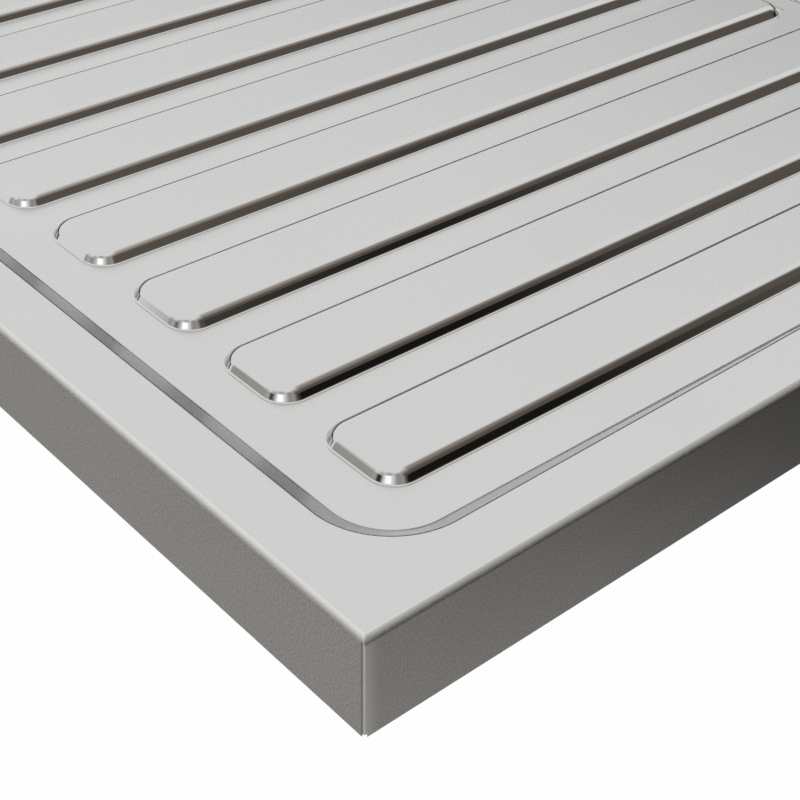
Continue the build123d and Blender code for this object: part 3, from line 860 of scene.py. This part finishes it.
# %% Apron
tree, shader = nodes_of(steel(
    "apron_steel", (0.62, 0.595, 0.565), rough=0.42, grain=1400, contrast=0.27, clouds=0.04,
    depth=0.003 * mm,
))
axes = along_axes(tree)
to_end = from_middle(tree, axes["X"], centre[0])
to_long_side = from_middle(tree, axes["Y"], centre[1])
on_end = rising(tree, half_length - 0.6 * mm, half_length - 0.3 * mm, to_end)
on_long_side = rising(tree, half_depth - 0.6 * mm, half_depth - 0.3 * mm, to_long_side)
# The corner gets a painted highlight line in its colour, and is also less metallic.
on_corner = times(tree, on_end, on_long_side)
# A painted dark line on the end's face, just beside the corner.
dark_line = within(
    tree, half_depth - 1.4 * mm, half_depth - 0.7 * mm, 0.4 * mm, to_long_side
)
beside = times(tree, on_end, dark_line)
# A painted lighter sheen on the front's face, fading over 6 mm from the corner.
painted_front_sheen = times(tree, on_long_side, rising(tree, half_length - 6 * mm, half_length, to_end))
# The fold is rougher and less metallic, and its colour is lighter: a painted highlight.
in_fold = rising(tree, rim_z - 2.9 * mm, rim_z - 0.5 * mm, axes["Z"])
# A painted grey shade line at the top, where the fold starts.
painted_bend_shade = rising(tree, rim_z - 0.10 * mm, rim_z - 0.07 * mm, axes["Z"])

colour = shader.inputs["Base Color"].links[0].from_socket
# The apron's colour with its painted light: the front sheen, the dark line by the corner, the fold
# highlight, the shade line where the fold starts and the corner highlight.
colour = blended(tree, painted_front_sheen, colour, (0.86, 0.84, 0.82, 1))
colour = blended(tree, beside, colour, (0.36, 0.35, 0.34, 1))
colour = blended(tree, in_fold, colour, (0.72, 0.715, 0.70, 1))
colour = blended(tree, painted_bend_shade, colour, (0.50, 0.50, 0.49, 1))
colour = blended(tree, on_corner, colour, (0.80, 0.79, 0.78, 1))
tree.links.new(colour, shader.inputs["Base Color"])
rough = shader.inputs["Roughness"].links[0].from_socket
tree.links.new(blended(tree, in_fold, rough, 0.46), shader.inputs["Roughness"])
metal = blended(tree, in_fold, 1.0, 0.65)
tree.links.new(blended(tree, on_corner, metal, 0.82), shader.inputs["Metallic"])

# %% [markdown]
# The wall of the step at the left end is stretched the least in the press, so it keeps more of
# its satin and mirrors the rib ends only as a soft grey. The bends above and below it are drawn
# over the die and stay bright.

# %% Duller wall at the left end
tree, shader = nodes_of(bpy.data.materials["pressed_steel"])
axes = along_axes(tree)
bend_height = bend_width / 2
on_wall = within(
    tree, floor_left_z + bend_height, rim_z - bend_height, 0.2 * mm, axes["Z"]
)
past_step = rising(tree, foot_left, foot_left + 10 * mm, axes["X"])
dull = times(tree, on_wall, add_math(tree, "SUBTRACT", 1.0, past_step))
rough = shader.inputs["Roughness"].links[0].from_socket
tree.links.new(blended(tree, dull, rough, 0.30), shader.inputs["Roughness"])

# %% [markdown]
# ## Other finishes
# The rails and brackets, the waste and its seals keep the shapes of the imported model, and each
# gets the finish that it has from its maker: rolled steel, zinc, bitumen pad, rubber, polished
# steel, moulded plastic and turned brass.


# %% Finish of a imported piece
def finish_nodes(slot_name, material):
    """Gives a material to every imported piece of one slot, and counts them."""
    parts = frame["record"]["subparts"]
    found = [part["node"] for part in parts if part["material_slot"] == slot_name]
    for name in found:
        nodes[name].data.materials.clear()
        nodes[name].data.materials.append(material)
    print(material.name, "on", len(found), "pieces")


finish_nodes("rail_steel", steel(
    "rolled_steel", (0.52, 0.52, 0.51), rough=0.40, grain=900, contrast=0.07,
    stretch=(1, 0.05, 1), clouds=0.05,
))
finish_nodes("waste_steel", steel(
    "polished_steel", (0.68, 0.68, 0.67), rough=0.10, grain=2500, contrast=0.02,
    stretch=(1, 1, 0.1),
))
finish_nodes("basket_steel", steel(
    "basket_polish", (0.70, 0.70, 0.69), rough=0.08, grain=3000, contrast=0.02,
    stretch=(1, 1, 0.3),
))

# %% Zinc
zinc = steel(
    "zinc_plate", (0.60, 0.61, 0.62), rough=0.34, grain=1800, contrast=0.04, clouds=0.04
)
tree, shader = nodes_of(zinc)
spangle = add(tree, "ShaderNodeTexVoronoi", Vector=own_place(tree), Scale=260.0)
tree.links.new(spread(tree, spangle.outputs["Distance"], 0.26, 0.44), shader.inputs["Roughness"])
finish_nodes("bracket_zinc", zinc)


# %% Rubber, pads and plastic
def moulded(name, colour, rough, grain, depth, contrast=0.06):
    """Rubber or plastic with the fine texture of its mould."""
    material = bpy.data.materials.new(name)
    tree, shader = nodes_of(material)
    texture = noise(tree, own_place(tree), grain)
    cloud = noise(tree, own_place(tree), 25.0)
    shade = times(
        tree, spread(tree, texture, 1 - contrast, 1 + contrast), spread(tree, cloud, 0.97, 1.03)
    )
    tree.links.new(tinted(tree, colour, shade), shader.inputs["Base Color"])
    tree.links.new(spread(tree, texture, rough * 0.9, rough * 1.1), shader.inputs["Roughness"])
    bumped(tree, shader, texture, depth)
    return material


finish_nodes("damping_pad", moulded(
    "bitumen_pad", (0.055, 0.055, 0.06), rough=0.75, grain=700, depth=0.12 * mm, contrast=0.15
))
finish_nodes("gasket_rubber", moulded(
    "black_gasket", (0.035, 0.035, 0.035), rough=0.62, grain=1500, depth=0.03 * mm
))
finish_nodes("seal_rubber", moulded(
    "black_seal", (0.03, 0.03, 0.033), rough=0.42, grain=1500, depth=0.01 * mm
))
finish_nodes("waste_plastic", moulded(
    "white_plastic", (0.70, 0.70, 0.68), rough=0.45, grain=1200, depth=0.015 * mm, contrast=0.02
))

# %% Turned brass
brass = bpy.data.materials.new("turned_brass")
tree, shader = nodes_of(brass)
shader.inputs["Metallic"].default_value = 1
rings = add(
    tree, "ShaderNodeTexWave", {"wave_type": "RINGS", "rings_direction": "Z"},
    Vector=own_place(tree, shift=(-bowl_middle.x, -bowl_middle.y, 0)), Scale=900.0, Distortion=0.4,
).outputs["Fac"]
brass_colour = tinted(tree, (0.72, 0.52, 0.22), spread(tree, rings, 0.92, 1.04))
tree.links.new(brass_colour, shader.inputs["Base Color"])
tree.links.new(spread(tree, rings, 0.22, 0.30), shader.inputs["Roughness"])
bumped(tree, shader, rings, 0.006 * mm)
finish_nodes("insert_brass", brass)

# %% [markdown]
# ## Studio
# Bright steel shows its surroundings, so the studio is most of its look. The world is white all
# round. A tent with soft grey and black patches stands far off and is seen by reflections only:
# it makes the dark lines along the pressed steps and the ribs' walls, as the flags of a product
# photographer do. The floor is pale and keeps the sink's soft shadow.


# %% White world
def looked_at(tree):
    """1 where the camera or a reflection looks, 0 where only light is gathered."""
    rays = add(tree, "ShaderNodeLightPath").outputs
    straight = add_math(tree, "MAXIMUM", rays["Is Camera Ray"], rays["Is Glossy Ray"])
    return add_math(tree, "MAXIMUM", straight, rays["Is Transmission Ray"])


world = bpy.data.worlds.new("white_world")
bpy.context.scene.world = world
world.use_nodes = True
tree = world.node_tree
strength = add(tree, "ShaderNodeMapRange", Value=looked_at(tree))
strength.inputs["To Min"].default_value = 0.85
strength.inputs["To Max"].default_value = 1.0
background = tree.nodes["Background"]
background.inputs["Color"].default_value = (1, 1, 1, 1)
tree.links.new(strength.outputs["Result"], background.inputs["Strength"])

# %% Soft lamp
lamp_aim = Vector((0, 0.29, 0))
bpy.ops.object.select_all(action="DESELECT")
bpy.ops.object.light_add(type="AREA", location=(0.3, 0.6, 1.8))
lamp = bpy.context.active_object
lamp.data.shape = "DISK"
lamp.data.size = 1.2
lamp.data.energy = 12
lamp.visible_glossy = False
lamp.rotation_euler = (lamp_aim - lamp.location).to_track_quat("-Z", "Y").to_euler()

# %% Pale floor
floor_level = cad_low[2] - 1 * mm
bpy.ops.object.select_all(action="DESELECT")
bpy.ops.mesh.primitive_plane_add(size=16, location=(0, 0, floor_level))
floor = bpy.context.active_object
floor.name = "studio_floor"
pale = bpy.data.materials.new("pale_floor")
floor.data.materials.append(pale)
tree, shader = nodes_of(pale)
shader.inputs["Base Color"].default_value = (0.9, 0.9, 0.9, 1)
shader.inputs["Roughness"].default_value = 0.9
shader.inputs["Specular IOR Level"].default_value = 0
white = add(tree, "ShaderNodeEmission", Strength=1.0)
mixed = add(tree, "ShaderNodeMixShader", Fac=times(tree, looked_at(tree), 0.98))
tree.links.new(shader.outputs["BSDF"], mixed.inputs[1])
tree.links.new(white.outputs["Emission"], mixed.inputs[2])
tree.links.new(mixed.outputs["Shader"], tree.nodes["Material Output"].inputs["Surface"])


# %% Tent for the reflections
def only_reflected(obj):
    """Hides a stage piece from everything but the reflections."""
    obj.visible_camera = False
    obj.visible_diffuse = False
    obj.visible_transmission = False
    obj.visible_volume_scatter = False
    obj.visible_shadow = False


def bare_tree(material):
    """Node tree of a material that gets no surface shader."""
    tree, shader = nodes_of(material)
    tree.nodes.remove(shader)
    return tree


def glow(tree, colour):
    """Makes a material shine in a colour, and do nothing else."""
    light = add(tree, "ShaderNodeEmission", Color=colour, Strength=1.0)
    tree.links.new(light.outputs["Emission"], tree.nodes["Material Output"].inputs["Surface"])


def shaded_card(name, place, stops):
    """Card whose brightness changes along one coordinate. Stops are (metres, brightness)."""
    material = bpy.data.materials.new(name)
    tree = bare_tree(material)
    start, end = stops[0][0], stops[-1][0]
    along = add(tree, "ShaderNodeMapRange", Value=place(tree))
    along.inputs["From Min"].default_value = start
    along.inputs["From Max"].default_value = end
    ramp = add(tree, "ShaderNodeValToRGB", Fac=along.outputs["Result"])
    points = ramp.color_ramp.elements
    while len(points) < len(stops):
        points.new(0.5)
    for point, (metres, brightness) in zip(points, stops):
        point.position = (metres - start) / (end - start)
        point.color = (brightness, brightness, brightness, 1)
    glow(tree, ramp.outputs["Color"])
    return material


def grey(brightness):
    return (brightness, brightness, brightness)


def brown(brightness):
    return (brightness, 0.87 * brightness, 0.74 * brightness)


tent_x, tent_y = -0.4, 0.1
tent_radius = 6.0
tent_top = tent_radius * math.tan(math.radians(68))
tent_seam = 110.0  # degrees, the direction in which the tent's turn starts and ends
bpy.ops.object.select_all(action="DESELECT")
bpy.ops.mesh.primitive_cylinder_add(
    vertices=128, radius=tent_radius, depth=tent_top - floor_level, end_fill_type="NOTHING",
    location=(tent_x, tent_y, (tent_top + floor_level) / 2),
)
tent = bpy.context.active_object
tent.name = "light_tent"
apply_place()
tent_paint = bpy.data.materials.new("tent_paint")
tent.data.materials.append(tent_paint)
tree = bare_tree(tent_paint)
turned = add(
    tree, "ShaderNodeMapping", Vector=own_place(tree, shift=(-tent_x, -tent_y, 0)),
    Rotation=(0, 0, math.radians(180 - tent_seam)),
)
axes = add(tree, "ShaderNodeSeparateXYZ", Vector=turned.outputs["Vector"]).outputs
turn = add_math(tree, "DEGREES", add_math(tree, "ARCTAN2", axes["Y"], axes["X"]))
turn = add_math(tree, "ADD", turn, 180 + tent_seam)
rise = add_math(tree, "DEGREES", add_math(tree, "ARCTAN2", axes["Z"], tent_radius))
only_reflected(tent)

# %% [markdown]
# Each patch of the tent is a soft rectangle of one shade, from one turn to another and from one
# height to another, seen from the tent's middle. Later patches cover earlier ones. Low down they
# are nearly black, for the dark lines along the steps and the ribs' walls. Higher up they are
# grey, for the rounded crowns, and one is brighter than white, for the glint on a rib's corner.

# %% Patches of the tent
low_down = -50
patches = [
    # turn from, to; height from, to; soft border along, up; shade. All in degrees but the shade.
    ((345, 405), (low_down, 22), 44, 3, grey(0.58)),
    ((345, 490), (low_down, 12.5), 20, 3, grey(0.04)),
    ((90, 124), (low_down, 9), 8, 3, grey(0.04)),
    ((133, 166), (low_down, 28), 5, 34, (0.44, 0.425, 0.41)),
    ((166, 190), (low_down, 52), 20, 20, grey(0.55)),
    ((165, 187), (low_down, 27), 14, 7, grey(0.03)),
    ((192, 228), (43, 64), 20, 10, grey(0.55)),
    ((190, 232), (low_down, 23.5), 20, 4, grey(0.05)),
    ((198, 222), (27, 39), 10, 5, grey(1.7)),
    ((236, 272), (low_down, 60), 24, 14, (0.40, 0.38, 0.36)),
    ((236, 272), (low_down, 18), 20, 12, grey(0.10)),
    ((272, 352), (low_down, 62), 22, 24, brown(0.34)),
    ((272, 352), (low_down, 46), 20, 12, brown(0.13)),
    ((282, 316), (low_down, 25), 14, 6, brown(0.012)),
    ((330, 352), (low_down, 17), 10, 6, brown(0.03)),
]
paint = (1, 1, 1, 1)
for along_turn, along_rise, border_turn, border_rise, shade in patches:
    covered = times(
        tree, within(tree, *along_turn, border_turn, turn),
        within(tree, *along_rise, border_rise, rise),
    )
    paint = blended(tree, covered, paint, (*shade, 1))
glow(tree, paint)
print("patches on the tent:", len(patches))


# %% Dark cloth on the floor
def to_front_right(tree):
    """Distance over the floor towards +X and -Y."""
    turned = add(
        tree, "ShaderNodeMapping", Vector=own_place(tree), Rotation=(0, 0, math.radians(45))
    )
    return add(tree, "ShaderNodeSeparateXYZ", Vector=turned.outputs["Vector"]).outputs["X"]


cloth_shades = [(-0.6, 0.35), (-0.08, 0.36), (0.03, 0.22), (0.12, 0.05), (0.5, 0.01)]
bpy.ops.object.select_all(action="DESELECT")
bpy.ops.mesh.primitive_plane_add(size=14, location=(0, 0, floor_level + 0.5 * mm))
cloth = bpy.context.active_object
cloth.name = "floor_flag"
apply_place()
cloth.data.materials.append(shaded_card("floor_flag", to_front_right, cloth_shades))
only_reflected(cloth)
